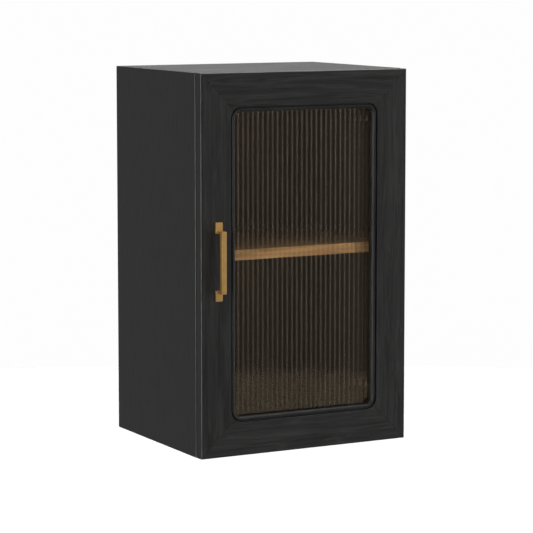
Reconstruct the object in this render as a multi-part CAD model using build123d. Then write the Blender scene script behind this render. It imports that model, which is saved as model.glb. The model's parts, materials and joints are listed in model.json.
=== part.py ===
"""Hanging wall cabinet with one framed ribbed-glass door, in millimetres.

X runs along the width, the wall is the plane Y = 0 and the door faces -Y, Z is up.
The origin is midway between the two wall-rail screw holes, on the wall.
"""

import os

from build123d import *

os.makedirs("parts", exist_ok=True)

# overall sizes
cabinet_width = 400.0
cabinet_height = 650.0
carcass_depth = 310.0
door_thickness = 18.0
door_gap = 2.0  # between the carcass's front edges and the door
door_reveal = 0.5  # the door stops this much inside the carcass's outline
wall_hole_drop = 60.0  # from the cabinet's top to the wall rail's holes

# boards
panel_thickness = 18.0
back_thickness = 6.0
back_setback = 18.0  # room behind the back panel for the wall rail
groove_depth = 8.0
groove_play = 0.1
shelf_thickness = 18.0
shelf_height = 330.0  # underside, above the cabinet's bottom
shelf_setback = 10.0  # behind the carcass's front edges
shelf_play = 1.0
hole_play = 0.05  # radial room round a screw, pin or dowel
eased_edge = 0.9  # radius on the boards' exposed edges
same_length = 0.01  # lengths and directions closer than this agree
mitre_ease = 0.3  # bevel where the door's mitres meet its front

# carcass joints
cam_inset = 34.0  # cam centre to panel end
cam_radius = 7.5
cam_depth = 12.5
cam_bolt_radius = 3.5
cam_thread_radius = 2.5
cam_thread_length = 11.0
cam_rows = (-40.0, -270.0)  # places along the depth
dowel_radius = 4.0
dowel_in_side = 12.0
dowel_in_panel = 18.0
dowel_rows = (-85.0, -225.0)

# shelf pins in a line-bored row
pin_radius = 2.5
pin_hole_depth = 10.0
pin_seat = 8.0
pin_reach = 8.0
pin_row_pitch = 32.0
pin_rows_each_way = 3
pin_column_setback = 37.0  # from the front edge, and from the back panel

# wall rail
rail_end_gap = 30.0  # from the rail's ends to the cabinet's sides
rail_length = cabinet_width - 2 * rail_end_gap
rail_thickness = 2.0
rail_low = -14.0
rail_step = 11.0
rail_offset = 10.0  # from the wall to the lip's front face
rail_top = 26.0
wall_hole_spacing = 300.0
wall_hole_radius = 3.5

# hangers
hanger_width = 20.0
hanger_depth = 36.0
hanger_height = 50.0
hanger_wall = 2.0
hanger_drop = 4.0  # below the top panel
hook_width = 10.0
hook_thickness = 4.0
hook_tip_thickness = 3.0
hook_tip_drop = 10.0
hook_side_room = 4.0
hook_lift_room = 6.0
hanger_cover_wall = 1.5
adjuster_radius = 3.0
adjuster_length = 30.0
adjuster_pitch = 15.0
hanger_screw_radius = 2.0
hanger_screw_length = 14.0
hanger_screw_head_radius = 3.6
hanger_screw_head = 1.6

# door frame
frame_width = 57.0
opening_radius = 20.0
bead_width = 9.4
bead_setback = 1.0  # behind the frame's front face
bead_shoulder = 0.8  # bevel beside the frame
bead_slope = 6.0  # bevel towards the glass
glass_recess = 10.5  # from the door's front face
glass_thickness = 4.0
glass_play = 1.0
seal_width = 7.0
clip_width = 12.0
clip_pitch = 175.0  # up the stiles
clip_length = 22.0
clip_thickness = 1.2
clip_lap = 7.0  # over the glass
clip_screw_radius = 1.6
clip_screw_length = 10.0
clip_screw_head_radius = 3.0
clip_screw_head = 1.2
bumper_radius = 4.0
bumper_thickness = 1.9
bumper_inset = 9.0  # from the door's edges to a bumper's centre

# handle
handle_inset = 32.5  # from the door's left edge
handle_height = 333.8  # above the cabinet's bottom
handle_bar_length = 105.0
handle_bar_width = 9.0
handle_bar_depth = 8.0
handle_reach = 14.0  # from the door to the bar's back
handle_foot_width = 12.5
handle_foot_height = 18.5
handle_foot_thickness = 4.0
handle_neck_thickness = 4.5
handle_screw_radius = 2.0
handle_screw_head_radius = 4.0
handle_screw_head = 2.4
handle_screw_sink = 1.2  # end of the screw to the foot's front

# hinges: pivots and the links' bends seen from above, from the right side's inner front corner
hinge_end_distance = 90.0
long_link_route = ((-19.6, 13.5), (-10.5, 4.5), (1.0, -8.0), (5.0, -8.0), (9.2, -4.5))
short_link_route = (
    (-14.7, -11.4),
    (-11.5, -9.5),
    (-7.0, -9.8),
    (-3.5, -11.0),
    (0.0, -11.0),
    (5.8, -8.2),
)
cup_radius = 17.5
cup_edge_distance = 22.5  # cup centre to the door's edge
cup_depth = 13.5
cup_wall = 1.2
cup_floor = 0.8
cup_play = 0.1
flange_thickness = 1.0
flange_proud = 0.3
flange_width = 20.0
flange_length = 62.0
cup_screw_spacing = 48.0
cup_screw_radius = 1.8
cup_screw_length = 11.0
cup_screw_head_radius = 3.4
cup_screw_head = 0.8
hinge_pin_radius = 1.2
stub_pin_radius = 1.0
pin_play = 0.05
open_pivot_play = 1.7  # room for the short links' stub pins in the cup's ears
link_eye_radius = 2.1
link_web_half = 1.4
long_link_half = 2.4  # half heights along Z of the stacked hinge plates
cheek_inner = 2.7
cheek_outer = 4.1
short_link_inner = 4.4
short_link_outer = 5.9
ear_inner = 6.3
ear_outer = 7.8
ear_wall = 1.2
mount_plate_length = 42.0
mount_plate_front = 19.0  # from the carcass's front edge
mount_plate_height = 52.0
mount_plate_thickness = 4.0
mount_plate_setback = 37.0  # its screws, from the front edge
plate_boss_height = 15.0
plate_screw_spacing = 32.0
plate_screw_radius = 2.4
plate_screw_length = 13.0
plate_screw_head_radius = 4.0
plate_screw_head = 2.0
arm_web = 1.6
arm_bend = 18.0  # where the arm's back stretch starts, behind the front edge
arm_rise = 2.5  # height of the cheeks over the boss there
clamp_screw_radius = 2.8
clamp_screw_head_radius = 4.0
clamp_screw_head = 2.0

# places worked out from the sizes
half_width = cabinet_width / 2
inner_half = half_width - panel_thickness
z_top = wall_hole_drop
z_bottom = z_top - cabinet_height
y_front = -carcass_depth
back_rear = -back_setback
back_front = back_rear - back_thickness
door_back = y_front - door_gap
door_front = door_back - door_thickness
door_half = half_width - door_reveal
door_low = z_bottom + door_reveal
door_high = z_top - door_reveal
door_middle = (door_low + door_high) / 2
opening_width = 2 * (door_half - frame_width)
opening_height = door_high - door_low - 2 * frame_width
glass_front = door_front + glass_recess
glass_back = glass_front + glass_thickness
shelf_bottom = z_bottom + shelf_height
shelf_top = shelf_bottom + shelf_thickness
shelf_front = y_front + shelf_setback
pin_columns = (back_front - pin_column_setback, y_front + pin_column_setback)
pin_height = shelf_bottom - pin_radius
hinge_heights = (z_bottom + hinge_end_distance, z_top - hinge_end_distance)
cup_x = door_half - cup_edge_distance
hinge_x = inner_half
hinge_y = y_front
side_signs = (-1, 1)


def block(x, y, z):
    """A box between two values on each axis, given in either order."""
    size = [abs(b - a) for a, b in (x, y, z)]
    middle = [(a + b) / 2 for a, b in (x, y, z)]
    return Pos(*middle) * Box(*size)


def rod_x(radius, x, y, z):
    """A cylinder along X between two values of x."""
    return Pos((x[0] + x[1]) / 2, y, z) * Rot(0, 90, 0) * Cylinder(radius, abs(x[1] - x[0]))


def rod_y(radius, x, y, z):
    """A cylinder along Y between two values of y."""
    return Pos(x, (y[0] + y[1]) / 2, z) * Rot(90, 0, 0) * Cylinder(radius, abs(y[1] - y[0]))


def rod_z(radius, x, y, z):
    """A cylinder along Z between two values of z."""
    return Pos(x, y, (z[0] + z[1]) / 2) * Cylinder(radius, abs(z[1] - z[0]))


def inset_slab(inset, y):
    """A board of the door opening's rounded outline, drawn in by inset, between two values of y."""
    plane = Plane(origin=(0, max(y), door_middle), x_dir=(1, 0, 0), z_dir=(0, -1, 0))
    outline = RectangleRounded(
        opening_width - 2 * inset, opening_height - 2 * inset, opening_radius - inset
    )
    return extrude(plane * outline, abs(y[1] - y[0]))


def cut_all(solid, tools):
    """The solid with every tool taken away."""
    for tool in tools:
        solid = solid - tool
    return solid


def ease(solid, chosen):
    """The solid with a small radius on the edges that the test chooses."""
    return fillet([edge for edge in solid.edges() if chosen(edge)], eased_edge)


def near(a, b):
    """Whether two lengths agree."""
    return abs(a - b) < same_length


def save(node, solids):
    """Writes one node, a single solid or a group of separate solids."""
    shapes = solids if isinstance(solids, list) else [solids]
    bodies = [body for shape in shapes for body in shape.solids()]
    export_step(bodies[0] if len(bodies) == 1 else Compound(children=bodies), f"parts/{node}.step")


# ---- carcass ----


def back_groove(x, z):
    """Room for the back panel's edge in a board."""
    return block(x, (back_rear + groove_play, back_front - groove_play), z)


def cam_heights():
    """Middle heights of the top and bottom panels."""
    return (z_top - panel_thickness / 2, z_bottom + panel_thickness / 2)


def side_panel(sign):
    """A side with its groove, its line-bored pin holes and the joints' blind holes."""
    inner = sign * inner_half
    outer = sign * half_width
    board = block((inner, outer), (0, y_front), (z_bottom, z_top))
    board = ease(
        board,
        lambda edge: near(edge.center().Y, y_front)
        or (near(edge.center().X, outer) and near(edge.center().Y, y_front / 2)),
    )
    groove_z = (z_bottom + panel_thickness - groove_depth, z_top - panel_thickness + groove_depth)
    tools = [back_groove((inner, inner + sign * groove_depth), groove_z)]
    for z in cam_heights():
        for y in cam_rows:
            depth = inner + sign * (cam_thread_length + hole_play)
            tools.append(rod_x(cam_thread_radius + hole_play, (inner, depth), y, z))
        for y in dowel_rows:
            depth = inner + sign * (dowel_in_side + hole_play)
            tools.append(rod_x(dowel_radius + hole_play, (inner, depth), y, z))
    for column in pin_columns:
        for row in range(-pin_rows_each_way, pin_rows_each_way + 1):
            z = pin_height + row * pin_row_pitch
            tools.append(rod_x(pin_radius + hole_play, (inner, inner + sign * pin_hole_depth), column, z))
    tools += hanger_screw_holes(sign)
    if sign > 0:
        tools += plate_screw_holes()
    return cut_all(board, tools)


def level_panel(low, high, inner_z):
    """The top or bottom board between the sides. inner_z is its face inside the cabinet."""
    middle = (low + high) / 2
    board = block((-inner_half, inner_half), (0, y_front), (low, high))
    board = ease(board, lambda edge: near(edge.center().Y, y_front) and near(edge.center().X, 0))
    into = 1 if middle > inner_z else -1
    tools = [back_groove((-inner_half, inner_half), (inner_z, inner_z + into * groove_depth))]
    for sign in side_signs:
        end = sign * inner_half
        for y in cam_rows:
            cam_x = end - sign * cam_inset
            tools.append(rod_x(cam_bolt_radius + hole_play, (end, cam_x), y, middle))
            tools.append(rod_z(cam_radius + hole_play, cam_x, y, (inner_z, inner_z + into * cam_depth)))
        for y in dowel_rows:
            depth = end - sign * (dowel_in_panel + hole_play)
            tools.append(rod_x(dowel_radius + hole_play, (end, depth), y, middle))
    return cut_all(board, tools)


def back_panel():
    """The thin back in its grooves, with a slot for each hanger's hook."""
    reach = groove_depth - groove_play
    board = block(
        (-inner_half - reach, inner_half + reach),
        (back_rear, back_front),
        (z_bottom + panel_thickness - reach, z_top - panel_thickness + reach),
    )
    tools = []
    for sign in side_signs:
        half = hook_width / 2 + hook_side_room
        x = hook_x(sign)
        low = rail_top - hook_tip_drop - hook_lift_room
        high = rail_top + hook_thickness + hook_lift_room
        tools.append(block((x - half, x + half), (0, y_front / 2), (low, high)))
    return cut_all(board, tools)


def shelf():
    """The loose shelf."""
    half = inner_half - shelf_play
    board = block((-half, half), (back_front - shelf_play, shelf_front), (shelf_bottom, shelf_top))
    return ease(board, lambda edge: near(edge.center().Y, shelf_front) and near(edge.center().X, 0))


def shelf_pins():
    """Four pins under the shelf."""
    pins = []
    for sign in side_signs:
        for column in pin_columns:
            ends = (sign * (inner_half + pin_seat), sign * (inner_half - pin_reach))
            pins.append(rod_x(pin_radius, ends, column, pin_height))
    return pins


def cam_parts():
    """The cam discs and the bolts that they pull, at every corner of the carcass."""
    cams = []
    bolts = []
    faces = ((z_top - panel_thickness, 1), (z_bottom + panel_thickness, -1))
    for z, (inner_z, into) in zip(cam_heights(), faces):
        for sign in side_signs:
            end = sign * inner_half
            cam_x = end - sign * cam_inset
            for y in cam_rows:
                bolt = rod_x(cam_bolt_radius, (end, cam_x + sign), y, z)
                bolt += rod_x(cam_thread_radius, (end + sign * cam_thread_length, end), y, z)
                bolts.append(bolt)
                cam = rod_z(cam_radius, cam_x, y, (inner_z, inner_z + into * cam_depth))
                slot = rod_x(cam_bolt_radius + hole_play, (end, cam_x), y, z)
                cams.append(cam - slot)
    return cams, bolts


def dowels():
    """The plain dowels beside the cams."""
    pegs = []
    for z in cam_heights():
        for sign in side_signs:
            for y in dowel_rows:
                ends = (sign * (inner_half + dowel_in_side), sign * (inner_half - dowel_in_panel))
                pegs.append(rod_x(dowel_radius, ends, y, z))
    return pegs


# ---- wall rail and hangers ----


def wall_rail():
    """A bent steel strip on the wall, with an upstanding lip for the hooks."""
    half = rail_length / 2
    web = block((-half, half), (0, -rail_thickness), (rail_low, rail_step))
    step = block((-half, half), (0, -rail_offset), (rail_step - rail_thickness, rail_step))
    lip_y = (-rail_offset + rail_thickness, -rail_offset)
    lip = block((-half, half), lip_y, (rail_step - rail_thickness, rail_top))
    holes = [
        rod_y(wall_hole_radius, sign * wall_hole_spacing / 2, (1, -2 * rail_thickness), 0)
        for sign in side_signs
    ]
    return cut_all(web + step + lip, holes)


def hanger_x(sign):
    """A hanger body's two ends along X, from the side panel inwards."""
    return (sign * inner_half, sign * (inner_half - hanger_width))


def hook_x(sign):
    """The hook's middle."""
    return sign * (inner_half - hanger_width / 2)


def hanger_z():
    """A hanger body's top and bottom."""
    high = z_top - panel_thickness - hanger_drop
    return (high - hanger_height, high)


def adjuster_heights():
    """The two adjusting screws, under the hook's bar."""
    first = rail_top - hook_tip_drop
    return (first, first - adjuster_pitch)


def hanger_body(sign):
    """A steel box against the side and the back, open to the back where the hook comes out."""
    x = hanger_x(sign)
    y = (back_front, back_front - hanger_depth)
    z = hanger_z()
    room = block(
        (x[0] - sign * hanger_wall, x[1] + sign * hanger_wall),
        (back_front, back_front - hanger_depth + hanger_wall),
        (z[0] + hanger_wall, z[1] - hanger_wall),
    )
    tools = [room]
    for height in adjuster_heights():
        tools.append(rod_y(adjuster_radius + hole_play, hook_x(sign), (back_front, y[1] - 1), height))
    for height in hanger_screw_heights():
        middle = back_front - hanger_depth / 2
        tools.append(rod_x(hanger_screw_radius + hole_play, x, middle, height))
        tools.append(rod_x(hanger_screw_head_radius + 1, (x[0] - sign * hanger_wall, x[1]), middle, height))
    return cut_all(block(x, y, z), tools)


def hook(sign):
    """The hook's bar, its tip down behind the rail's lip and its tail in the hanger."""
    x = (hook_x(sign) - hook_width / 2, hook_x(sign) + hook_width / 2)
    tail_y = back_front - hanger_depth + 2 * hanger_wall
    tip_y = -rail_offset + rail_thickness + hole_play
    bar_top = rail_top + hook_thickness
    tail_low = adjuster_heights()[1] - adjuster_radius - 2
    bar = block(x, (tip_y + hook_tip_thickness, tail_y), (rail_top, bar_top))
    tip = block(x, (tip_y, tip_y + hook_tip_thickness), (rail_top - hook_tip_drop, bar_top))
    tail = block(x, (tail_y, tail_y + hook_thickness), (tail_low, rail_top))
    holes = [
        rod_y(adjuster_radius + hole_play, hook_x(sign), (tail_y - 1, tail_y + hook_thickness + 1), height)
        for height in adjuster_heights()
    ]
    return cut_all(bar + tip + tail, holes)


def adjusting_screws():
    """Two screws in each hanger that lift the hook and draw it in."""
    front = back_front - hanger_depth
    return [
        rod_y(adjuster_radius, hook_x(sign), (front, front + adjuster_length), height)
        for sign in side_signs
        for height in adjuster_heights()
    ]


def hanger_screw_heights():
    """The screws that fix a hanger to its side panel."""
    low, high = hanger_z()
    return (low + hanger_height / 5, high - hanger_height / 8)


def hanger_screw_holes(sign):
    """Blind holes in a side for its hanger's screws."""
    inner = sign * inner_half
    depth = inner + sign * (hanger_screw_length - hanger_wall)
    middle = back_front - hanger_depth / 2
    return [
        rod_x(hanger_screw_radius + hole_play, (inner, depth), middle, height)
        for height in hanger_screw_heights()
    ]


def hanger_screws():
    """The fixing screws of both hangers, head inside the hanger."""
    screws = []
    for sign in side_signs:
        seat = sign * (inner_half - hanger_wall)
        middle = back_front - hanger_depth / 2
        for height in hanger_screw_heights():
            shank = rod_x(hanger_screw_radius, (seat, seat + sign * hanger_screw_length), middle, height)
            head = rod_x(hanger_screw_head_radius, (seat - sign * hanger_screw_head, seat), middle, height)
            screws.append(shank + head)
    return screws


def hanger_cover(sign):
    """A plastic cap over the hanger, with two holes for a screwdriver."""
    x = hanger_x(sign)
    z = hanger_z()
    front = back_front - hanger_depth
    shell = block(
        (x[0], x[1] - sign * hanger_cover_wall),
        (back_front, front - hanger_cover_wall),
        (z[0] - hanger_cover_wall, z[1] + hanger_cover_wall),
    )
    tools = [block(x, (back_front, front), z)]
    for height in adjuster_heights():
        tools.append(rod_y(adjuster_radius, hook_x(sign), (front, front - 2 * hanger_cover_wall), height))
    return cut_all(shell, tools)


# ---- door ----


def door_member(points):
    """One mitred frame member: the frame's ring cut to a four-sided outline."""
    plane = Plane(origin=(0, door_back, 0), x_dir=(1, 0, 0), z_dir=(0, -1, 0))
    outline = plane * make_face(Polyline(*points, close=True))
    board = extrude(outline, door_thickness) - inset_slab(0, (door_back + 1, door_front - 1))
    board = chamfer([edge for edge in board.edges() if mitre_edge(edge)], mitre_ease)
    return ease(board, door_edge)


def diagonal(edge):
    """Whether an edge is straight and follows a mitre."""
    way = edge.tangent_at(0.5)
    return edge.geom_type == GeomType.LINE and near(abs(way.X), abs(way.Z)) and abs(way.X) > 0.5


def mitre_edge(edge):
    """Whether an edge is one of the two where the mitres meet the door's front."""
    return diagonal(edge) and near(edge.center().Y, door_front)


def door_edge(edge):
    """Whether an edge lies along the door's outline, or round the opening's front."""
    middle = edge.center()
    if not near(edge.tangent_at(0.5).Y, 0) or diagonal(edge):
        return False
    if near(abs(middle.X), door_half) or near(middle.Z, door_low) or near(middle.Z, door_high):
        return True
    across = abs(middle.X) < opening_width / 2 + same_length
    rise = abs(middle.Z - door_middle) < opening_height / 2 + same_length
    return near(middle.Y, door_front) and across and rise


def mitre_corners():
    """The door's outer corners, and the points where the mitres end, past the opening's rounded corners."""
    half_in = opening_width / 2 - opening_radius
    rise_in = opening_height / 2 - opening_radius
    turns = ((-1, -1), (1, -1), (1, 1), (-1, 1))
    outer = [(x * door_half, door_middle + z * (door_high - door_low) / 2) for x, z in turns]
    inner = [(x * half_in, door_middle + z * rise_in) for x, z in turns]
    return outer, inner


def frame_members():
    """The two stiles and two rails."""
    outer, inner = mitre_corners()
    members = {}
    for i, name in enumerate(("bottom_rail", "right_stile", "top_rail", "left_stile")):
        after = (i + 1) % len(outer)
        members[name] = door_member([outer[i], outer[after], inner[after], inner[i]])
    return members


def left_stile(board):
    """The handle's side, with its two screw holes."""
    through = (door_back + 1, door_front - 1)
    holes = [rod_y(handle_screw_radius + hole_play, x, through, z) for x, z in handle_holes()]
    return cut_all(board, holes)


def right_stile(board):
    """The hinge side, with the cups' bores and the flanges' recesses."""
    tools = []
    sink = door_back - (flange_thickness - flange_proud)
    for z in hinge_heights:
        tools.append(rod_y(cup_radius, cup_x, (door_back + 1, door_back - cup_depth - cup_play), z))
        tools.append(flange_outline(z, (door_back + 1, sink)))
        for z_screw in cup_screw_heights(z):
            end = sink - cup_screw_length
            tools.append(rod_y(cup_screw_radius + hole_play, cup_x, (door_back + 1, end), z_screw))
    return cut_all(board, tools)


def bead_ring():
    """The moulding round the glass: a flat band with a rounded front edge."""
    back = glass_front
    front = door_front + bead_setback
    ring = inset_slab(0, (back, front)) - inset_slab(bead_width, (back + 1, front - 1))
    inner_half_width = opening_width / 2 - bead_width
    inner_half_height = opening_height / 2 - bead_width
    shoulder = []
    slope = []
    for edge in ring.faces().sort_by(Axis.Y)[0].edges():
        middle = edge.center()
        inside = abs(middle.X) < inner_half_width + 1 and abs(middle.Z - door_middle) < inner_half_height + 1
        (slope if inside else shoulder).append(edge)
    ring = chamfer(slope, bead_slope)
    front_face = ring.faces().sort_by(Axis.Y)[0]
    return chamfer([edge for edge in front_face.edges() if outer_bead_edge(edge)], bead_shoulder)


def outer_bead_edge(edge):
    """Whether one of the bead's front edges is the one beside the frame."""
    middle = edge.center()
    if edge.geom_type == GeomType.LINE:
        return near(abs(middle.X), opening_width / 2) or near(abs(middle.Z - door_middle), opening_height / 2)
    return near(edge.radius, opening_radius)


def glass_pane():
    """The pane behind the bead, inside the frame's opening."""
    return inset_slab(glass_play, (glass_back, glass_front))


def glazing_seal():
    """A flat rubber ring behind the glass."""
    outer = inset_slab(glass_play, (door_back, glass_back))
    return outer - inset_slab(glass_play + seal_width, (door_back + 1, glass_back - 1))


def clip_places():
    """(x, z, direction towards the glass) of each glass clip's screw side, round the opening."""
    half = opening_width / 2
    low = door_middle - opening_height / 2
    high = door_middle + opening_height / 2
    places = []
    for step in (-1, 0, 1):
        z = door_middle + step * clip_pitch
        places.append((-half, z, (1, 0)))
        places.append((half, z, (-1, 0)))
    for z, turn in ((low, (0, 1)), (high, (0, -1))):
        places.append((0, z, turn))
    return places


def clip_span(direction):
    """A clip's extent on one axis, from the opening's edge, for its direction towards the glass."""
    if direction == 0:
        return (-clip_width / 2, clip_width / 2)
    return (direction * clip_lap, direction * (clip_lap - clip_length))


def glass_clips():
    """Flat clips screwed to the frame's back, each lapping the seal, with their screws and holes."""
    clips = []
    screws = []
    holes = []
    face = door_back + clip_thickness
    end = door_back - clip_screw_length
    for x, z, (dx, dz) in clip_places():
        span_x, span_z = clip_span(dx), clip_span(dz)
        plate = block(
            (x + span_x[0], x + span_x[1]), (door_back, face), (z + span_z[0], z + span_z[1])
        )
        away = (clip_length - clip_lap) / 2
        screw_x, screw_z = x - dx * away, z - dz * away
        hole = rod_y(clip_screw_radius + hole_play, screw_x, (face + 1, end), screw_z)
        shank = rod_y(clip_screw_radius, screw_x, (face, end), screw_z)
        head = rod_y(clip_screw_head_radius, screw_x, (face, face + clip_screw_head), screw_z)
        clips.append(plate - hole)
        screws.append(shank + head)
        holes.append(hole)
    return clips, screws, holes


def door_bumpers():
    """Soft pads at the door's free corners, where it meets the left side."""
    x = -door_half + bumper_inset
    return [
        rod_y(bumper_radius, x, (door_back, door_back + bumper_thickness), z)
        for z in (door_low + bumper_inset, door_high - bumper_inset)
    ]


# ---- handle ----


def handle_x():
    """The handle's middle line."""
    return -door_half + handle_inset


def foot_span(sign):
    """A foot's inner and outer ends: its neck is level with the bar's end."""
    middle = z_bottom + handle_height
    inner = middle + sign * (handle_bar_length / 2 - handle_neck_thickness)
    return inner, inner + sign * handle_foot_height


def handle_holes():
    """The screws' places, in the middle of each foot."""
    return [(handle_x(), sum(foot_span(sign)) / 2) for sign in side_signs]


def handle_foot(sign):
    """A plate on the door and the neck that carries the bar, bent from one strip."""
    inner, outer = foot_span(sign)
    x = handle_x()
    half = handle_foot_width / 2
    neck_half = handle_bar_width / 2
    plate = block((x - half, x + half), (door_front, door_front - handle_foot_thickness), (inner, outer))
    neck = block(
        (x - neck_half, x + neck_half),
        (door_front, door_front - handle_reach),
        (inner, inner + sign * handle_neck_thickness),
    )
    hole_end = door_front - handle_foot_thickness + handle_screw_sink
    hole = rod_y(handle_screw_radius + hole_play, x, (door_front + 1, hole_end), (inner + outer) / 2)
    return plate + neck - hole


def handle_bar():
    """The square bar."""
    x = handle_x()
    middle = z_bottom + handle_height
    y = door_front - handle_reach
    return block(
        (x - handle_bar_width / 2, x + handle_bar_width / 2),
        (y, y - handle_bar_depth),
        (middle - handle_bar_length / 2, middle + handle_bar_length / 2),
    )


def handle_screws():
    """Machine screws through the stile into the feet."""
    end = door_front - handle_foot_thickness + handle_screw_sink
    screws = []
    for x, z in handle_holes():
        shank = rod_y(handle_screw_radius, x, (door_back, end), z)
        head = rod_y(handle_screw_head_radius, x, (door_back, door_back + handle_screw_head), z)
        screws.append(shank + head)
    return screws


# ---- hinges ----


def hinge_point(local):
    """A pivot's place seen from above."""
    return hinge_x + local[0], hinge_y + local[1]


def flange_outline(z, y):
    """The cup's flange seen from behind: a bar with a wide middle."""
    half_width_x = flange_width / 2
    half_length = flange_length / 2
    bar = block((cup_x - half_width_x, cup_x + half_width_x), y, (z - half_length, z + half_length))
    disc = rod_y(cup_radius + cup_wall, cup_x, y, z)
    return bar + disc


def cup_screw_heights(z):
    """The two screws of one cup."""
    return (z - cup_screw_spacing / 2, z + cup_screw_spacing / 2)


def hinge_cup(z):
    """The pot in the door with its flange, and two pairs of ears for the links' pins."""
    sink = door_back - (flange_thickness - flange_proud)
    top = door_back + flange_proud
    floor = door_back - cup_depth
    pot = rod_y(cup_radius - cup_play, cup_x, (sink, floor), z) + flange_outline(z, (top, sink))
    bore_radius = cup_radius - cup_play - cup_wall
    long_x, long_y = hinge_point(long_link_route[-1])
    short_x, short_y = hinge_point(short_link_route[-1])
    relief = rod_z(link_eye_radius + cup_play, long_x, long_y, (z - cheek_inner, z + cheek_inner))
    cup = pot - rod_y(bore_radius, cup_x, (top + 1, floor + cup_floor), z) - relief
    inside = rod_y(bore_radius + cup_wall / 2, cup_x, (top, floor + cup_floor / 2), z)
    side = cup_x + cup_radius
    reach = stub_pin_radius + open_pivot_play + ear_wall
    for sign in side_signs:
        layer = (z + sign * cheek_inner, z + sign * cheek_outer)
        cup += block((long_x - link_eye_radius, side), (floor, long_y + link_eye_radius), layer) & inside
        layer = (z + sign * ear_inner, z + sign * ear_outer)
        cup += block((short_x - reach, side), (floor, short_y + reach), layer) & inside
    tools = [
        rod_y(cup_screw_radius + hole_play, cup_x, (top + 1, floor), z_screw)
        for z_screw in cup_screw_heights(z)
    ]
    tools.append(rod_z(hinge_pin_radius, long_x, long_y, (z - cheek_outer - 1, z + cheek_outer + 1)))
    for sign in side_signs:
        layer = (z + sign * short_link_outer, z + sign * (ear_outer + 1))
        tools.append(rod_z(stub_pin_radius + open_pivot_play, short_x, short_y, layer))
    return cut_all(cup, tools)


def cup_screws():
    """Countersunk screws of both cups."""
    screws = []
    top = door_back + flange_proud
    for z in hinge_heights:
        for z_screw in cup_screw_heights(z):
            shank = rod_y(cup_screw_radius, cup_x, (top, top - cup_screw_length), z_screw)
            screws.append(shank + rod_y(cup_screw_head_radius, cup_x, (top, top + cup_screw_head), z_screw))
    return screws


def cup_pins():
    """The long links' pins, held in the cups' inner ears."""
    pivot = hinge_point(long_link_route[-1])
    return [rod_z(hinge_pin_radius, *pivot, (z - cheek_outer, z + cheek_outer)) for z in hinge_heights]


def arm_pins():
    """The pins in the arms' cheeks. The front ones reach out to the short links' plates."""
    pins = []
    for z in hinge_heights:
        for route, half in ((long_link_route, cheek_outer), (short_link_route, short_link_outer)):
            pins.append(rod_z(hinge_pin_radius, *hinge_point(route[0]), (z - half, z + half)))
    return pins


def circle_edges(centre, radius):
    """The edge of a circle on the base plane."""
    return (Pos(*centre) * Circle(radius)).edges()


def link_plate(route, z):
    """A flat bent link between two values of z: a narrow web with a round eye at each end."""
    points = [hinge_point(local) for local in route]
    low, high = min(z), max(z)
    plate = rod_z(link_eye_radius, *points[0], z) + rod_z(link_eye_radius, *points[-1], z)
    for start, end in zip(points, points[1:]):
        edges = circle_edges(start, link_web_half) + circle_edges(end, link_web_half)
        plate += extrude(Plane.XY.offset(low) * make_hull(edges), high - low)
    return plate


def long_link(z):
    """The link between the arm's cheeks, out round the side panel's corner to the cup."""
    span = (z - long_link_half, z + long_link_half)
    holes = [
        rod_z(hinge_pin_radius + pin_play, *hinge_point(pivot), (span[0] - 1, span[1] + 1))
        for pivot in (long_link_route[0], long_link_route[-1])
    ]
    return cut_all(link_plate(long_link_route, span), holes)


def short_link(z):
    """A plate each side of the arm, each with a stub pin in the cup's ear: the open pivot."""
    plates = []
    for sign in side_signs:
        span = (z + sign * short_link_inner, z + sign * short_link_outer)
        hole = (z + sign * (short_link_inner - 1), z + sign * (short_link_outer + 1))
        plate = link_plate(short_link_route, span)
        plate -= rod_z(hinge_pin_radius + pin_play, *hinge_point(short_link_route[0]), hole)
        stub = (z + sign * short_link_inner, z + sign * ear_outer)
        plate += rod_z(stub_pin_radius, *hinge_point(short_link_route[-1]), stub)
        plates.append(plate)
    return plates


def hinge_arm(z):
    """The arm: two cheeks from the pivots back to a web that lies on the mounting plate's boss."""
    long_x, long_y = hinge_point(long_link_route[0])
    short_x, short_y = hinge_point(short_link_route[0])
    boss_x = hinge_x - mount_plate_thickness - plate_boss_height
    bend_y = hinge_y + arm_bend
    back_y = plate_spine()[1]
    nose_y = short_y - link_eye_radius
    points = [
        (short_x - link_eye_radius, nose_y),
        (short_x + link_eye_radius, nose_y),
        (short_x + link_eye_radius, short_y + 2 * link_eye_radius),
        (boss_x + arm_rise, long_y),
        (boss_x + arm_rise, bend_y),
        (boss_x, bend_y),
        (boss_x, back_y),
        (boss_x - arm_web, back_y),
        (boss_x - arm_web, bend_y),
        (long_x - link_eye_radius, long_y),
        (long_x - link_eye_radius, long_y - link_eye_radius),
    ]
    cheeks = []
    for sign in side_signs:
        low = min(z + sign * cheek_inner, z + sign * cheek_outer)
        face = Plane.XY.offset(low) * make_face(Polyline(*points, close=True))
        cheeks.append(extrude(face, cheek_outer - cheek_inner))
    web = block((boss_x - arm_web, boss_x), (bend_y, back_y), (z - cheek_outer, z + cheek_outer))
    tools = [
        rod_z(hinge_pin_radius, *hinge_point(route[0]), (z - cheek_outer - 1, z + cheek_outer + 1))
        for route in (long_link_route, short_link_route)
    ]
    tools.append(rod_x(clamp_screw_radius + hole_play, (boss_x - 2 * arm_web, boss_x + 1), clamp_y(), z))
    return cut_all(web + cheeks[0] + cheeks[1], tools)


def plate_spine():
    """The mounting plate's front and back ends along the depth."""
    front = hinge_y + mount_plate_front
    return (front, front + mount_plate_length)


def clamp_y():
    """The arm's clamping screw, near the plate's back end."""
    return hinge_y + mount_plate_setback + mount_plate_length / 4


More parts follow.
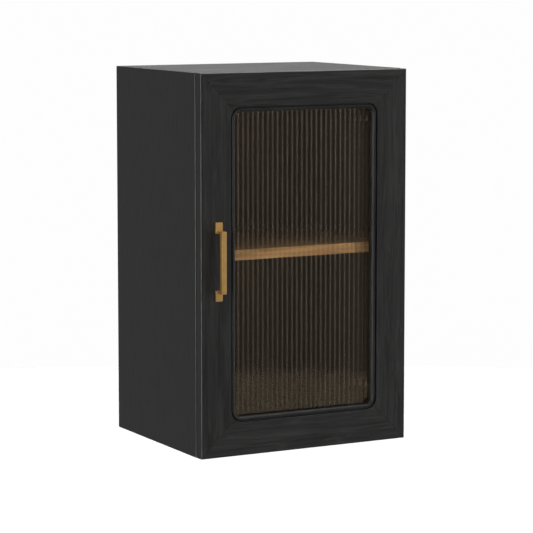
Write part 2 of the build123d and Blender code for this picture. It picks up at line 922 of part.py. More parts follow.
def mount_plate(z):
    """The cross-shaped plate on the side panel and the boss under the arm."""
    wing_y = hinge_y + mount_plate_setback
    wings = block(
        (hinge_x, hinge_x - mount_plate_thickness),
        (wing_y - plate_screw_head_radius - 2, wing_y + plate_screw_head_radius + 2),
        (z - mount_plate_height / 2, z + mount_plate_height / 2),
    )
    boss_x = hinge_x - mount_plate_thickness - plate_boss_height
    spine = block((hinge_x, boss_x), plate_spine(), (z - cheek_outer, z + cheek_outer))
    tools = []
    for z_screw in plate_screw_heights(z):
        tools.append(rod_x(plate_screw_radius + hole_play, (hinge_x + 1, boss_x), wing_y, z_screw))
    clamp_end = boss_x + plate_boss_height / 2
    tools.append(rod_x(clamp_screw_radius + hole_play, (boss_x - 1, clamp_end), clamp_y(), z))
    return cut_all(wings + spine, tools)


def plate_screw_heights(z):
    """The two screws of one mounting plate."""
    return (z - plate_screw_spacing / 2, z + plate_screw_spacing / 2)


def plate_screw_holes():
    """Blind holes in the right side for the mounting plates' screws."""
    depth = hinge_x + plate_screw_length - mount_plate_thickness
    y = hinge_y + mount_plate_setback
    return [
        rod_x(plate_screw_radius + hole_play, (hinge_x - 1, depth), y, z_screw)
        for z in hinge_heights
        for z_screw in plate_screw_heights(z)
    ]


def plate_screws():
    """The mounting plates' screws."""
    seat = hinge_x - mount_plate_thickness
    y = hinge_y + mount_plate_setback
    screws = []
    for z in hinge_heights:
        for z_screw in plate_screw_heights(z):
            shank = rod_x(plate_screw_radius, (seat, seat + plate_screw_length), y, z_screw)
            head = rod_x(plate_screw_head_radius, (seat - plate_screw_head, seat), y, z_screw)
            screws.append(shank + head)
    return screws


def clamp_screws():
    """The screw that clamps each arm to its plate's boss."""
    boss_x = hinge_x - mount_plate_thickness - plate_boss_height
    seat = boss_x - arm_web
    return [
        rod_x(clamp_screw_radius, (seat, boss_x + plate_boss_height / 2), clamp_y(), z)
        + rod_x(clamp_screw_head_radius, (seat - clamp_screw_head, seat), clamp_y(), z)
        for z in hinge_heights
    ]


def build_carcass():
    """Every fixed piece of the box."""
    save("left_side", side_panel(-1))
    save("right_side", side_panel(1))
    save("top_panel", level_panel(z_top - panel_thickness, z_top, z_top - panel_thickness))
    save("bottom_panel", level_panel(z_bottom, z_bottom + panel_thickness, z_bottom + panel_thickness))
    save("back_panel", back_panel())
    save("shelf", shelf())
    save("shelf_pins", shelf_pins())
    cams, bolts = cam_parts()
    save("cam_locks", cams)
    save("cam_bolts", bolts)
    save("dowels", dowels())


def build_hangers():
    """The wall rail and what hangs on it."""
    save("wall_rail", wall_rail())
    for side, sign in (("left", -1), ("right", 1)):
        save(f"hanger_body_{side}", hanger_body(sign))
        save(f"hanger_hook_{side}", hook(sign))
        save(f"hanger_cover_{side}", hanger_cover(sign))
    save("hanger_adjusters", adjusting_screws())
    save("hanger_screws", hanger_screws())


def build_door():
    """The door and its handle."""
    members = frame_members()
    clips, clip_screws, clip_holes = glass_clips()
    members["left_stile"] = left_stile(members["left_stile"])
    members["right_stile"] = right_stile(members["right_stile"])
    for name, board in members.items():
        save(f"door_{name}", cut_all(board, clip_holes))
    save("bead_moulding", bead_ring())
    save("door_glass", glass_pane())
    save("glazing_seal", glazing_seal())
    save("glass_clips", clips)
    save("clip_screws", clip_screws)
    save("door_bumpers", door_bumpers())
    save("handle_bar", handle_bar())
    save("handle_foot_lower", handle_foot(-1))
    save("handle_foot_upper", handle_foot(1))
    save("handle_screws", handle_screws())


def build_hinges():
    """The two concealed hinges."""
    for place, z in zip(("lower", "upper"), hinge_heights):
        save(f"hinge_plate_{place}", mount_plate(z))
        save(f"hinge_arm_{place}", hinge_arm(z))
        save(f"hinge_long_link_{place}", long_link(z))
        save(f"hinge_short_link_{place}", short_link(z))
        save(f"hinge_cup_{place}", hinge_cup(z))
    save("hinge_arm_pins", arm_pins())
    save("hinge_cup_pins", cup_pins())
    save("hinge_cup_screws", cup_screws())
    save("hinge_plate_screws", plate_screws())
    save("hinge_clamp_screws", clamp_screws())


build_carcass()
build_hangers()
build_door()
build_hinges()
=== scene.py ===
import bpy
import json
import math
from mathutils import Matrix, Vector

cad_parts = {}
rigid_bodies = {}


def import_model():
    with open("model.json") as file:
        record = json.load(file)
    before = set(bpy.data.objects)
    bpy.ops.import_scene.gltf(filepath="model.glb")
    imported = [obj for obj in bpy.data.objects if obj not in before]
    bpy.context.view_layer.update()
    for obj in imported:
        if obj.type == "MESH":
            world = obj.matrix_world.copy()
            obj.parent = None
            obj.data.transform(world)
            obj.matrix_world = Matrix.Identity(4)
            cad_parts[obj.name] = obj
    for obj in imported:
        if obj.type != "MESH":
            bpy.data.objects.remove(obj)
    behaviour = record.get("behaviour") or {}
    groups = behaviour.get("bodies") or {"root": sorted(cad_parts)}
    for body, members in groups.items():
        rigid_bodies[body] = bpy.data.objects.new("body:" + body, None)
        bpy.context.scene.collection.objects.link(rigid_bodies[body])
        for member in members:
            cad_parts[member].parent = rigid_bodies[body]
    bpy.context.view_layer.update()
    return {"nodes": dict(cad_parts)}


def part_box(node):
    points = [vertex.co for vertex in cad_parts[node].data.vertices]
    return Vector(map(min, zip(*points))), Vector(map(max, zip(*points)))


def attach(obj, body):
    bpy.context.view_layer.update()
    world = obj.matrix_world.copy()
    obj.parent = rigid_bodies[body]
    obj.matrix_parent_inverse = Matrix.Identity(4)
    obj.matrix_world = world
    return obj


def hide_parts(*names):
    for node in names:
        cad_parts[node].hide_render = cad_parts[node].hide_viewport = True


bpy.ops.object.select_all(action="SELECT")
bpy.ops.object.delete()
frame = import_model()
nodes = frame["nodes"]
print("frame loaded:", len(nodes), "nodes")


# small tools for shaping and picking

def letGo():
    # nothing selected, object mode
    if bpy.context.object and bpy.context.object.mode != "OBJECT":
        bpy.ops.object.mode_set(mode="OBJECT")
    bpy.ops.object.select_all(action="DESELECT")


def settle(name, size=None):
    # leaves the new object at the origin with its place in its mesh
    piece = bpy.context.object
    piece.name = name
    if size:
        piece.scale = size
    bpy.ops.object.transform_apply(location=True, rotation=True, scale=True)
    return piece


def pickFaces(piece, test):
    bpy.ops.object.mode_set(mode="EDIT")
    bpy.ops.mesh.select_mode(type="FACE")
    bpy.ops.mesh.select_all(action="DESELECT")
    bpy.ops.object.mode_set(mode="OBJECT")
    for face in piece.data.polygons:
        face.select = test(face.center, face.normal)
    bpy.ops.object.mode_set(mode="EDIT")


def pickEdges(piece, test):
    bpy.ops.object.mode_set(mode="EDIT")
    bpy.ops.mesh.select_mode(type="EDGE")
    bpy.ops.mesh.select_all(action="DESELECT")
    bpy.ops.object.mode_set(mode="OBJECT")
    points = piece.data.vertices
    for edge in piece.data.edges:
        a, b = points[edge.vertices[0]].co, points[edge.vertices[1]].co
        edge.select = test((a + b) / 2, (b - a).normalized())
    bpy.ops.object.mode_set(mode="EDIT")


def block(name, low, high):
    # a box between two corners, still to be shaped
    letGo()
    middle = [(a + b) / 2 for a, b in zip(low, high)]
    size = [b - a for a, b in zip(low, high)]
    bpy.ops.mesh.primitive_cube_add(size=1, location=middle)
    return settle(name, size)


def softenEdges(radius, steps=3):
    # rounds the edges that are selected in edit mode
    bpy.ops.mesh.bevel(offset=radius, segments=steps, profile=0.5, affect="EDGES")
    bpy.ops.object.mode_set(mode="OBJECT")


def forward(distance):
    # pulls the selected faces out along the depth; a minus goes towards the front
    bpy.ops.mesh.extrude_region_move(TRANSFORM_OT_translate={"value": (0, distance, 0)})


def smooth(piece, angle):
    letGo()
    piece.select_set(True)
    bpy.context.view_layer.objects.active = piece
    bpy.ops.object.shade_smooth_by_angle(angle=math.radians(angle))
    letGo()


def roundedPanel(name, low, high, radius, y, steps=10):
    # one upright face with rounded corners, looking out of the front
    letGo()
    middle = ((low.x + high.x) / 2, y, (low.z + high.z) / 2)
    bpy.ops.mesh.primitive_plane_add(size=1, location=middle, rotation=(math.radians(90), 0, 0))
    piece = settle(name, (high.x - low.x, high.z - low.z, 1))
    bpy.ops.object.mode_set(mode="EDIT")
    bpy.ops.mesh.select_all(action="SELECT")
    bpy.ops.mesh.bevel(offset=radius, segments=steps, profile=0.5, affect="VERTICES")
    return piece


# small tools for materials

def newMaterial(name):
    material = bpy.data.materials.new(name)
    material.use_nodes = True
    return material, material.node_tree.nodes["Principled BSDF"]


def addNode(material, kind, **values):
    node = material.node_tree.nodes.new("ShaderNode" + kind)
    for key, value in values.items():
        if hasattr(node, key):
            setattr(node, key, value)
        else:
            node.inputs[key.replace("_", " ").title()].default_value = value
    return node


def join(material, source, target):
    material.node_tree.links.new(source, target)


def stretchedNoise(material, stretch, scale, detail=3, roughness=0.6, distortion=0.0):
    # noise on Object coordinates, drawn out along the axes with a small stretch value
    place = addNode(material, "TexCoord")
    mapping = addNode(material, "Mapping")
    mapping.inputs["Scale"].default_value = stretch
    noise = addNode(material, "TexNoise", scale=scale, detail=detail, roughness=roughness,
                    distortion=distortion)
    join(material, place.outputs["Object"], mapping.inputs["Vector"])
    join(material, mapping.outputs["Vector"], noise.inputs["Vector"])
    return noise.outputs["Fac"]


def ramp(material, source, stops):
    node = addNode(material, "ValToRGB")
    band = node.color_ramp
    while len(band.elements) < len(stops):
        band.elements.new(0.5)
    for element, (place, colour) in zip(band.elements, stops):
        element.position = place
        element.color = (*colour, 1) if len(colour) == 3 else colour
    join(material, source, node.inputs["Fac"])
    return node.outputs["Color"]


def grey(value):
    return (value, value, value)


def rangeOf(material, source, low, high, fromLow=0.0, fromHigh=1.0):
    node = addNode(material, "MapRange")
    node.inputs["From Min"].default_value = fromLow
    node.inputs["From Max"].default_value = fromHigh
    node.inputs["To Min"].default_value = low
    node.inputs["To Max"].default_value = high
    join(material, source, node.inputs["Value"])
    return node.outputs["Result"]


def mixColours(material, amount, first, second, blend="MIX"):
    node = addNode(material, "Mix", data_type="RGBA", blend_type=blend)
    if isinstance(amount, (int, float)):
        node.inputs[0].default_value = amount
    else:
        join(material, amount, node.inputs[0])
    for slot, value in ((6, first), (7, second)):
        if isinstance(value, tuple):
            node.inputs[slot].default_value = (*value, 1)
        else:
            join(material, value, node.inputs[slot])
    return node.outputs[2]


def mathsOf(material, operation, first, second):
    node = addNode(material, "Math", operation=operation)
    for slot, value in ((0, first), (1, second)):
        if isinstance(value, (int, float)):
            node.inputs[slot].default_value = value
        else:
            join(material, value, node.inputs[slot])
    return node.outputs[0]


def times(material, first, second):
    return mathsOf(material, "MULTIPLY", first, second)


def plus(material, first, second):
    return mathsOf(material, "ADD", first, second)


def bumpOf(material, height, depth, strength=1.0, under=None):
    node = addNode(material, "Bump")
    node.inputs["Strength"].default_value = strength
    node.inputs["Distance"].default_value = depth
    join(material, height, node.inputs["Height"])
    if under:
        join(material, under, node.inputs["Normal"])
    return node.outputs["Normal"]


# wood

blackOak = {
    "dark": (0.0040, 0.0039, 0.0038),
    "light": (0.0200, 0.0195, 0.0190),
    "wornAndHighlight": (0.260, 0.254, 0.248),     # pale edge colour: the stain worn thin, and a painted highlight along the eased edges
    "highlight": 1.3,       # the palest streaks, against the light colour
    "poreWidth": 620,       # pores to the metre
    "streakWidth": 150,
    "figureWidth": 46,
    "cloudWidth": 9,
    "rings": 9.0,           # contour lines through the figure's whole range
    "shares": (0.68, 0.16, 0.20),      # streaks, contour lines, clouds
    "roughness": (0.42, 0.60),
    "rubbed": 0.45,         # how much smoother the pale edges are, worn and given a painted highlight
    "poreDepth": 0.00025,
    "streakDepth": 0.0006,
}
# pale eased edges: partly wear, partly a painted highlight standing in for light caught on the rounded edges
edgeWearAndHighlight = {
    "full": 0.90,           # the largest part of the normal where the wear and the painted highlight are full
    "start": 0.985,         # and where they begin
    "mitre": 0.02,          # product of all three parts that marks a mitre's bevel
    "margin": 0.001,        # round the moulding's box, in metres
}


def alongAxis(axis, stretch):
    # mapping scale that draws a pattern out along one axis
    return tuple(stretch if name == axis else 1.0 for name in "xyz")


def edgeMask(material):
    # 1 on eased edges and corners, where the surface faces none of the three axes; it places the edge wear
    # and the painted highlight
    e = edgeWearAndHighlight
    place = addNode(material, "TexCoord")
    size = addNode(material, "VectorMath", operation="ABSOLUTE")
    join(material, place.outputs["Normal"], size.inputs[0])
    parts = addNode(material, "SeparateXYZ")
    join(material, size.outputs["Vector"], parts.inputs["Vector"])
    x, y, z = (parts.outputs[axis] for axis in "XYZ")
    widest = mathsOf(material, "MAXIMUM", mathsOf(material, "MAXIMUM", x, y), z)
    mask = rangeOf(material, widest, 1.0, 0.0, e["full"], e["start"])
    # none on the mitres' small bevels, which face all three axes
    threeWays = times(material, times(material, x, y), z)
    mask = times(material, mask, mathsOf(material, "LESS_THAN", threeWays, e["mitre"]))
    # none round the door's opening, whose edge stays dark: no wear and no painted highlight there
    low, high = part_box("bead_moulding")
    spot = addNode(material, "SeparateXYZ")
    join(material, place.outputs["Object"], spot.inputs["Vector"])
    sideways = mathsOf(material, "ABSOLUTE", spot.outputs["X"], 0.0)
    pastSide = mathsOf(material, "SUBTRACT", sideways, high.x + e["margin"])
    fromMiddle = mathsOf(material, "SUBTRACT", spot.outputs["Z"], (low.z + high.z) / 2)
    upward = mathsOf(material, "ABSOLUTE", fromMiddle, 0.0)
    pastEnd = mathsOf(material, "SUBTRACT", upward, (high.z - low.z) / 2 + e["margin"])
    furthest = mathsOf(material, "MAXIMUM", pastSide, pastEnd)
    return times(material, mask, mathsOf(material, "GREATER_THAN", furthest, 0.0))


def blackOakMaterial(name, axis, paintedBrightness=1.0, wearAndHighlight=1.0):
    # stained open-grain oak: dark pores, soft streaks, pale lines of figure, and pale edges that are partly a
    # little wear and partly a painted highlight
    material, shader = newMaterial(name)
    s = blackOak
    pores = stretchedNoise(material, alongAxis(axis, 0.035), s["poreWidth"], detail=2)
    streaks = stretchedNoise(material, alongAxis(axis, 0.035), s["streakWidth"], detail=4, distortion=0.25)
    figure = stretchedNoise(material, alongAxis(axis, 0.09), s["figureWidth"], detail=2, distortion=0.9)
    cloud = stretchedNoise(material, alongAxis(axis, 0.5), s["cloudWidth"], detail=2)
    # painted light: a brightness factor on the stain's colours, lighter for the level boards' painted sheen,
    # darker for the bead's painted shade
    dark = tuple(c * paintedBrightness for c in s["dark"])
    light = tuple(c * paintedBrightness for c in s["light"])
    palest = tuple(c * s["highlight"] for c in light)
    # the figure's contour lines, like the growth rings of a sawn board
    rings = mathsOf(material, "PINGPONG", times(material, figure, s["rings"]), 1.0)
    line = ramp(material, rings, [(0.0, grey(0.0)), (0.72, grey(0.25)), (0.95, grey(1.0))])
    streakShare, lineShare, cloudShare = s["shares"]
    extras = plus(material, times(material, line, lineShare), times(material, cloud, cloudShare))
    tone = plus(material, times(material, streaks, streakShare), extras)
    base = ramp(material, tone, [(0.32, dark), (0.60, light), (0.80, palest)])
    poreMask = ramp(material, pores, [(0.30, grey(0.35)), (0.44, grey(1.0))])
    stained = mixColours(material, 1.0, base, poreMask, "MULTIPLY")
    patchy = rangeOf(material, streaks, 0.35, 1.0, 0.3, 0.6)
    # mask of the pale edges: wear and a painted highlight on the eased edges
    edges = times(material, edgeMask(material), times(material, patchy, wearAndHighlight))
    join(material, mixColours(material, edges, stained, s["wornAndHighlight"]), shader.inputs["Base Color"])
    rough = rangeOf(material, tone, *s["roughness"], 0.3, 0.7)
    smoother = mathsOf(material, "SUBTRACT", 1.0, times(material, edges, s["rubbed"]))
    join(material, times(material, rough, smoother), shader.inputs["Roughness"])
    deep = bumpOf(material, poreMask, s["poreDepth"], 0.8)
    join(material, bumpOf(material, tone, s["streakDepth"], 0.6, deep), shader.inputs["Normal"])
    return material


uprightOak = blackOakMaterial("blackOakUpright", "z")
# the level boards get a lighter copy of the colour: a painted sheen for the light their level grain catches
levelOak = blackOakMaterial("blackOakLevel", "x", 1.08)
# the bead moulding gets a darker copy of the colour: painted shade on its slopes, and no pale edges
mouldingOak = blackOakMaterial("blackOakMoulding", "z", 0.8, 0.0)

naturalOak = {
    "colours": [(0.30, (0.20, 0.115, 0.052)), (0.52, (0.36, 0.235, 0.125)), (0.75, (0.47, 0.325, 0.19))],
}


def naturalOakMaterial(name, axis):
    material, shader = newMaterial(name)
    pores = stretchedNoise(material, alongAxis(axis, 0.03), 700, detail=2)
    streaks = stretchedNoise(material, alongAxis(axis, 0.05), 120, detail=5, distortion=0.4)
    base = ramp(material, streaks, naturalOak["colours"])
    poreMask = ramp(material, pores, [(0.30, grey(0.45)), (0.42, grey(1.0))])
    join(material, mixColours(material, 1.0, base, poreMask, "MULTIPLY"), shader.inputs["Base Color"])
    join(material, rangeOf(material, streaks, 0.42, 0.58, 0.3, 0.7), shader.inputs["Roughness"])
    join(material, bumpOf(material, poreMask, 0.0002, 0.7), shader.inputs["Normal"])
    return material


shelfOak = naturalOakMaterial("shelfOak", "x")


def boardMaterial(name):
    # the thin faced back: a fine even print under a matt film
    material, shader = newMaterial(name)
    fine = stretchedNoise(material, (1, 1, 0.08), 400, detail=3)
    cloud = stretchedNoise(material, (1, 1, 0.4), 18, detail=2)
    amount = plus(material, times(material, fine, 0.6), times(material, cloud, 0.4))
    join(material, ramp(material, amount, [(0.35, (0.036, 0.027, 0.019)), (0.65, (0.060, 0.046, 0.033))]),
         shader.inputs["Base Color"])
    join(material, rangeOf(material, cloud, 0.55, 0.7, 0.3, 0.7), shader.inputs["Roughness"])
    join(material, bumpOf(material, fine, 0.0001, 0.5), shader.inputs["Normal"])
    return material


backBoard = boardMaterial("blackBackBoard")


def dowelMaterial(name):
    material, shader = newMaterial(name)
    fibre = stretchedNoise(material, (0.06, 1, 1), 500, detail=4)
    join(material, ramp(material, fibre, [(0.35, (0.40, 0.26, 0.14)), (0.65, (0.60, 0.43, 0.27))]),
         shader.inputs["Base Color"])
    join(material, rangeOf(material, fibre, 0.5, 0.75), shader.inputs["Roughness"])
    return material


beechPegs = dowelMaterial("beechPegs")
print("wood materials made")


# metals, plastic, rubber and glass

satinBrass = {"colour": (0.68, 0.41, 0.14), "roughness": (0.40, 0.52), "metal": 0.72}


def metalMaterial(name, colour, roughness, axis="z", fine=2600, grainDepth=0.00003, metal=1.0):
    # brushed metal: fine lines along one axis, a few faint marks
    material, shader = newMaterial(name)
    shader.inputs["Metallic"].default_value = metal   # under 1 for a matt lacquer
    lines = stretchedNoise(material, alongAxis(axis, 0.02), fine, detail=3)
    marks = stretchedNoise(material, (1, 1, 1), 60, detail=3)
    dim = tuple(c * 0.86 for c in colour)
    join(material, ramp(material, marks, [(0.3, dim), (0.6, colour)]), shader.inputs["Base Color"])
    both = plus(material, times(material, lines, 0.6), times(material, marks, 0.4))
    join(material, rangeOf(material, both, *roughness, 0.3, 0.7), shader.inputs["Roughness"])
    join(material, bumpOf(material, lines, grainDepth, 0.6), shader.inputs["Normal"])
    return material


brass = metalMaterial("satinBrass", satinBrass["colour"], satinBrass["roughness"], metal=satinBrass["metal"])
nickel = metalMaterial("nickelSteel", (0.42, 0.41, 0.40), (0.36, 0.48), fine=1800)
blackSteel = metalMaterial("blackSteel", (0.028, 0.027, 0.026), (0.40, 0.55), fine=1800)
zinc = metalMaterial("zincSteel", (0.47, 0.48, 0.50), (0.32, 0.50), axis="x", fine=900)


def mouldedMaterial(name, colour, roughness, grain, depth):
    # plastic or rubber with a fine moulded texture
    material, shader = newMaterial(name)
    texture = stretchedNoise(material, (1, 1, 1), grain, detail=2)
    cloud = stretchedNoise(material, (1, 1, 1), 40, detail=2)
    brighter = tuple(c * 1.35 for c in colour)
    join(material, ramp(material, cloud, [(0.35, colour), (0.7, brighter)]), shader.inputs["Base Color"])
    join(material, rangeOf(material, texture, *roughness, 0.3, 0.7), shader.inputs["Roughness"])
    join(material, bumpOf(material, texture, depth, 0.6), shader.inputs["Normal"])
    return material


coverPlastic = mouldedMaterial("coverPlastic", (0.018, 0.018, 0.018), (0.40, 0.55), 2400, 0.00004)
rubber = mouldedMaterial("blackRubber", (0.013, 0.013, 0.013), (0.65, 0.82), 1500, 0.00006)

bronzeGlass = {
    "tint": (0.86, 0.80, 0.68),
    "shadowTint": (0.90, 0.82, 0.70),   # what the lamp's light keeps on its way through
    "sheen": (0.74, 0.60, 0.44),        # colour of its reflections
    "ior": 1.5,
    "roughness": (0.01, 0.05),
}


def glassMaterial(name):
    # tinted glass that lets the light through to what stands behind it
    material, shader = newMaterial(name)
    s = bronzeGlass
    shader.inputs["Base Color"].default_value = (*s["tint"], 1)
    shader.inputs["Transmission Weight"].default_value = 1.0
    shader.inputs["IOR"].default_value = s["ior"]
    shader.inputs["Specular Tint"].default_value = (*s["sheen"], 1)
    ripple = stretchedNoise(material, (1, 1, 0.15), 60, detail=2)
    join(material, rangeOf(material, ripple, *s["roughness"], 0.3, 0.7), shader.inputs["Roughness"])
    clear = addNode(material, "BsdfTransparent")
    clear.inputs["Color"].default_value = (*s["shadowTint"], 1)
    path = addNode(material, "LightPath")
    blend = addNode(material, "MixShader")
    join(material, path.outputs["Is Shadow Ray"], blend.inputs["Fac"])
    join(material, shader.outputs["BSDF"], blend.inputs[1])
    join(material, clear.outputs["BSDF"], blend.inputs[2])
    output = material.node_tree.nodes["Material Output"]
    join(material, blend.outputs["Shader"], output.inputs["Surface"])
    return material


ribbedGlass = glassMaterial("bronzeGlass")
print("other materials made")

finishOf = {
    uprightOak: ["left_side", "right_side", "door_left_stile", "door_right_stile"],
    levelOak: ["top_panel", "bottom_panel", "door_top_rail", "door_bottom_rail"],
    mouldingOak: ["bead_moulding"],
    backBoard: ["back_panel"],
    shelfOak: ["shelf"],
    beechPegs: ["dowels"],
    ribbedGlass: ["door_glass"],
    brass: ["handle_bar", "handle_foot_lower", "handle_foot_upper"],
    rubber: ["glazing_seal", "door_bumpers"],
    blackSteel: ["glass_clips", "clip_screws"],
    coverPlastic: ["hanger_cover_left", "hanger_cover_right"],
    zinc: ["wall_rail", "hanger_body_left", "hanger_body_right", "hanger_hook_left", "hanger_hook_right",
           "hanger_adjusters", "hanger_screws", "cam_bolts", "cam_locks"],
}
named = [name for names in finishOf.values() for name in names]
finishOf[nickel] = [name for name in nodes if name not in named]


def dress(piece, material):
    piece.data.materials.clear()
    piece.data.materials.append(material)


for material, names in finishOf.items():
    for name in names:
        dress(nodes[name], material)


# bead moulding round the glass

bead = {
    "corner": 0.020,
    "groove": (0.0021, 0.0044),      # width, depth below the door's face
    "crown": (0.0042, 0.0010),       # how far in the highest line is, and its depth
    "inner": (0.0094, 0.0072),       # where the slope meets the short wall above the glass
    "steps": 6,
    "middle": 0.01,                  # only the big front and back faces have their centres this near
}


def buildBead():
    low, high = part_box("bead_moulding")
    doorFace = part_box("door_top_rail")[0].y
    ring = roundedPanel("beadMoulding", low, high, bead["corner"], high.y)
    forward(doorFace + bead["groove"][1] - high.y)
    bpy.ops.mesh.inset(thickness=bead["groove"][0], depth=0, use_even_offset=True)
    # a quarter turn up from the groove to the crown, and a longer one down towards the glass
    across, deep = bead["groove"]
    for (startIn, startDeep), (endIn, endDeep), rising in ((bead["groove"], bead["crown"], True),
                                                           (bead["crown"], bead["inner"], False)):
        for step in range(1, bead["steps"] + 1):
            turn = math.pi / 2 * step / bead["steps"]
            along = 1 - math.cos(turn) if rising else math.sin(turn)
            fall = math.sin(turn) if rising else 1 - math.cos(turn)
            newAcross = startIn + (endIn - startIn) * along
            newDeep = startDeep + (endDeep - startDeep) * fall
            bpy.ops.mesh.inset(thickness=newAcross - across, depth=deep - newDeep, use_even_offset=True)
            across, deep = newAcross, newDeep
    innerY = doorFace + bead["inner"][1]
    forward(high.y - innerY)
    # open the middle and close the back of the ring
    bpy.ops.mesh.delete(type="FACE")
    middle = (low.z + high.z) / 2
    near = bead["middle"]
    pickFaces(ring, lambda centre, normal: abs(centre.x) < near and abs(centre.z - middle) < near)
    bpy.ops.mesh.delete(type="FACE")
    bpy.ops.mesh.select_mode(type="EDGE")
    bpy.ops.mesh.select_non_manifold()
    bpy.ops.mesh.bridge_edge_loops()
    bpy.ops.mesh.select_all(action="SELECT")
    bpy.ops.mesh.normals_make_consistent(inside=False)
    smooth(ring, 50)
    dress(ring, mouldingOak)
    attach(ring, "door")
    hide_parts("bead_moulding")


buildBead()
print("bead moulding built")


# ribbed glass

pane = {
    "ribs": 30,
    "relief": 0.0011,
    "steps": 8,
    "corner": 0.019,
    "cuts": (22.5, 45, 67.5),   # degrees round each corner
    "strip": 0.001,             # width of the plane that the first rib is swept from
    "weld": 0.0001,
}


def buildPane():
    low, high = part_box("door_glass")
    pitch = (high.x - low.x) / pane["ribs"]
    radius = pitch * pitch / (8 * pane["relief"]) + pane["relief"] / 2
    valley = low.y + pane["relief"]
    letGo()
    start = (low.x - pane["strip"] / 2, valley, (low.z + high.z) / 2)
    bpy.ops.mesh.primitive_plane_add(size=1, location=start, rotation=(math.radians(90), 0, 0))
    ribs = settle("ribbedPane", (pane["strip"], high.z - low.z, 1))
    # keep the plane's right edge, and sweep it over a rib's arc
    pickEdges(ribs, lambda middle, way: middle.x < low.x - pane["strip"] * 0.9)
    bpy.ops.mesh.select_mode(type="VERT")
    bpy.ops.mesh.delete(type="VERT")
    bpy.ops.mesh.select_all(action="SELECT")
    bpy.ops.mesh.spin(steps=pane["steps"], angle=-2 * math.asin(pitch / 2 / radius),
                      center=(low.x + pitch / 2, valley + radius - pane["relief"], 0), axis=(0, 0, 1))
    bpy.ops.object.mode_set(mode="OBJECT")
    repeat = ribs.modifiers.new("repeat", "ARRAY")
    repeat.count = pane["ribs"]
    repeat.use_relative_offset = False
    repeat.use_constant_offset = True
    repeat.constant_offset_displace = (pitch, 0, 0)
    repeat.use_merge_vertices = True
    repeat.merge_threshold = pane["weld"]
    bpy.ops.object.modifier_apply(modifier=repeat.name)
    # the glazier's rounded corners, three straight cuts to each
    bpy.ops.object.mode_set(mode="EDIT")
    corner = pane["corner"]
    for sideways in (-1, 1):
        for upward in (-1, 1):
            startX = (high.x if sideways > 0 else low.x) - sideways * corner
            startZ = (high.z if upward > 0 else low.z) - upward * corner
            for turn in pane["cuts"]:
                out = (sideways * math.cos(math.radians(turn)), 0, upward * math.sin(math.radians(turn)))
                bpy.ops.mesh.select_all(action="SELECT")
                bpy.ops.mesh.bisect(plane_co=(startX + out[0] * corner, 0, startZ + out[2] * corner),
                                    plane_no=out, clear_outer=True)
    bpy.ops.mesh.select_all(action="SELECT")
    forward(high.y - low.y)
    bpy.ops.transform.resize(value=(1, 0, 1), center_override=(0, high.y, 0))
    bpy.ops.mesh.select_all(action="SELECT")
    bpy.ops.mesh.normals_make_consistent(inside=False)
    smooth(ribs, 30)
    dress(ribs, ribbedGlass)
    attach(ribs, "door")
    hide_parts("door_glass")


buildPane()
print("ribbed glass built")


# handle

handle = {
    "edge": 0.0007,
    "edgeSteps": 4,
    "neckEdge": 0.0005,
    "plate": 0.004,     # thickness of a foot's plate
    "neck": 0.0045,     # height of the neck from plate to bar
    "touch": 0.00001,   # closer than this counts as on the plate's outline
}


def finishBrass(piece, *replaced):
    smooth(piece, 40)
    dress(piece, brass)
    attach(piece, "door")
    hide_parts(*replaced)


def buildBar():
    low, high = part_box("handle_bar")
    bar = block("handleBar", low, high)
    pickEdges(bar, lambda middle, way: True)
    softenEdges(handle["edge"], handle["edgeSteps"])
    finishBrass(bar, "handle_bar")


def buildFoot(node, name, up):
    low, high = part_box(node)
    plateFront = high.y - handle["plate"]
    barLow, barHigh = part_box("handle_bar")
    foot = block(name, (low.x, plateFront, low.z), high)
    # split off the strip that the neck grows from
    cut = low.z + handle["neck"] if up else high.z - handle["neck"]
    for place, normal in (((0, 0, cut), (0, 0, 1)), ((barLow.x, 0, 0), (1, 0, 0)),
                          ((barHigh.x, 0, 0), (1, 0, 0))):
        bpy.ops.object.mode_set(mode="EDIT")
        bpy.ops.mesh.select_all(action="SELECT")
        bpy.ops.mesh.bisect(plane_co=place, plane_no=normal)
        bpy.ops.object.mode_set(mode="OBJECT")
    pickFaces(foot, lambda c, n: n.y < -0.5 and barLow.x < c.x < barHigh.x and (c.z < cut) == up)
    forward(low.y - plateFront)
    bpy.ops.object.mode_set(mode="OBJECT")

    def near(a, *others):
        return min(abs(a - other) for other in others) < handle["touch"]

    def outline(c):
        # how many of the plate's outer faces the point lies on
        return near(c.x, low.x, high.x) + near(c.z, low.z, high.z) + near(c.y, plateFront)

    # the plate's outer edges, and the neck's edges along the depth
    pickEdges(foot, lambda middle, way: outline(middle) >= 2
              or (middle.y < plateFront - 0.001 and abs(way.y) > 0.9))
    softenEdges(handle["neckEdge"])
    finishBrass(foot, node)


buildBar()
buildFoot("handle_foot_upper", "handleFootUpper", True)
buildFoot("handle_foot_lower", "handleFootLower", False)
print("handle built")


# surroundings

floorSettings = {"radius": 9.0, "height": -1.99, "middle": -0.165, "glow": 0.5, "roughness": 0.8}


def buildFloor():
    letGo()
    bpy.ops.mesh.primitive_circle_add(radius=floorSettings["radius"], vertices=96, fill_type="NGON",
                                      location=(0, floorSettings["middle"], floorSettings["height"]))
    floor = settle("paleFloor")
    material, shader = newMaterial("paleFloor")
    speck = stretchedNoise(material, (1, 1, 1), 30, detail=2)
    join(material, ramp(material, speck, [(0.3, grey(0.80)), (0.7, grey(0.84))]), shader.inputs["Base Color"])
    shader.inputs["Roughness"].default_value = floorSettings["roughness"]
    shader.inputs["Emission Color"].default_value = (1, 1, 1, 1)
    shader.inputs["Emission Strength"].default_value = floorSettings["glow"]
    dress(floor, material)
    floor.visible_diffuse = False     # it is seen, and takes no part in lighting the cabinet
    floor.visible_glossy = False


buildFloor()

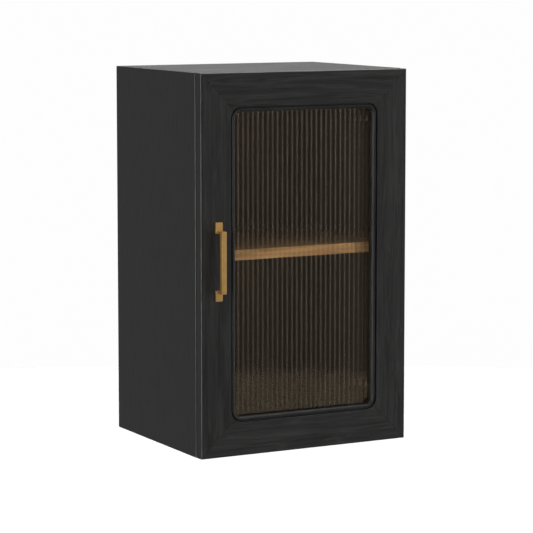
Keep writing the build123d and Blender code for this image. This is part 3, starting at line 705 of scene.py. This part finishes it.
studio = {
    "seen": 0.985,           # the backdrop's brightness
    "around": 0.222,         # what the surfaces get from most of it
    # lit walls: way to the middle, where they start and are full, how much they add
    "walls": [
        ((0.60, 0.80, 0.05), 0.80, 0.99, 1.14),     # behind, to the right
        ((-0.52, 0.85, -0.05), 0.80, 0.99, 0.14),   # behind, to the left
        ((0.80, -0.60, 0.0), 0.95, 0.985, 0.6),     # in front, to the right
        ((-0.85, -0.50, 0.05), 0.955, 0.99, 12.0),  # in front, to the left
        ((0.42, -0.06, 0.90), 0.91, 0.98, 4.0),     # overhead
        ((0.97, -0.20, 0.0), 0.94, 0.99, 1.3),      # to the right
    ],
    "keyPower": 48,
    "keySize": 1.1,
    "keyPlace": (1.75, -2.65, -0.10),
}


def buildStudio():
    world = bpy.data.worlds.new("whiteStudio")
    bpy.context.scene.world = world
    world.use_nodes = True
    tree = world.node_tree
    back = tree.nodes["Background"]
    back.inputs["Color"].default_value = (1, 1, 1, 1)
    coords = tree.nodes.new("ShaderNodeTexCoord")
    total = None
    for way, start, full, amount in studio["walls"]:
        towards = tree.nodes.new("ShaderNodeVectorMath")
        towards.operation = "DOT_PRODUCT"
        towards.inputs[1].default_value = way
        tree.links.new(coords.outputs["Generated"], towards.inputs[0])
        fade = tree.nodes.new("ShaderNodeMapRange")
        fade.interpolation_type = "SMOOTHSTEP"
        fade.inputs["From Min"].default_value = start
        fade.inputs["From Max"].default_value = full
        fade.inputs["To Max"].default_value = amount
        tree.links.new(towards.outputs["Value"], fade.inputs["Value"])
        add = tree.nodes.new("ShaderNodeMath")
        add.inputs[1].default_value = studio["around"]
        tree.links.new(fade.outputs["Result"], add.inputs[0])
        if total:
            tree.links.new(total, add.inputs[1])
        total = add.outputs[0]
    path = tree.nodes.new("ShaderNodeLightPath")
    pick = tree.nodes.new("ShaderNodeMix")
    pick.inputs["B"].default_value = studio["seen"]
    tree.links.new(total, pick.inputs["A"])
    tree.links.new(path.outputs["Is Camera Ray"], pick.inputs["Factor"])
    tree.links.new(pick.outputs["Result"], back.inputs["Strength"])


def areaLight(name, place, target, size, power):
    lamp = bpy.data.lights.new(name, "AREA")
    lamp.shape = "DISK"
    lamp.size = size
    lamp.energy = power
    holder = bpy.data.objects.new(name, lamp)
    bpy.context.scene.collection.objects.link(holder)
    holder.location = place
    way = holder.location - Vector(target)
    holder.rotation_euler = way.to_track_quat("Z", "Y").to_euler()
    return holder


buildStudio()
middle = (0, -0.2, -0.26)
keyLight = areaLight("keyLight", studio["keyPlace"], middle, studio["keySize"], studio["keyPower"])
keyLight.visible_glossy = False   # no glare on the pane and the black wood
keyLight.visible_transmission = False
print("lights placed")


# camera

view = {"place": (-1.958, -3.818, 0.233), "turn": 28.354, "tilt": -6.253, "lens": 159.53, "shift": -0.075}

lens = bpy.data.cameras.new("camera")
lens.lens = view["lens"]
lens.sensor_width = 36
lens.shift_y = view["shift"]
lens.clip_start = 0.05
lens.clip_end = 60
camera = bpy.data.objects.new("camera", lens)
bpy.context.scene.collection.objects.link(camera)
camera.location = view["place"]
camera.rotation_euler = (math.radians(90 + view["tilt"]), 0, math.radians(-view["turn"]))
bpy.context.scene.camera = camera
bpy.context.scene.view_settings.view_transform = "Standard"
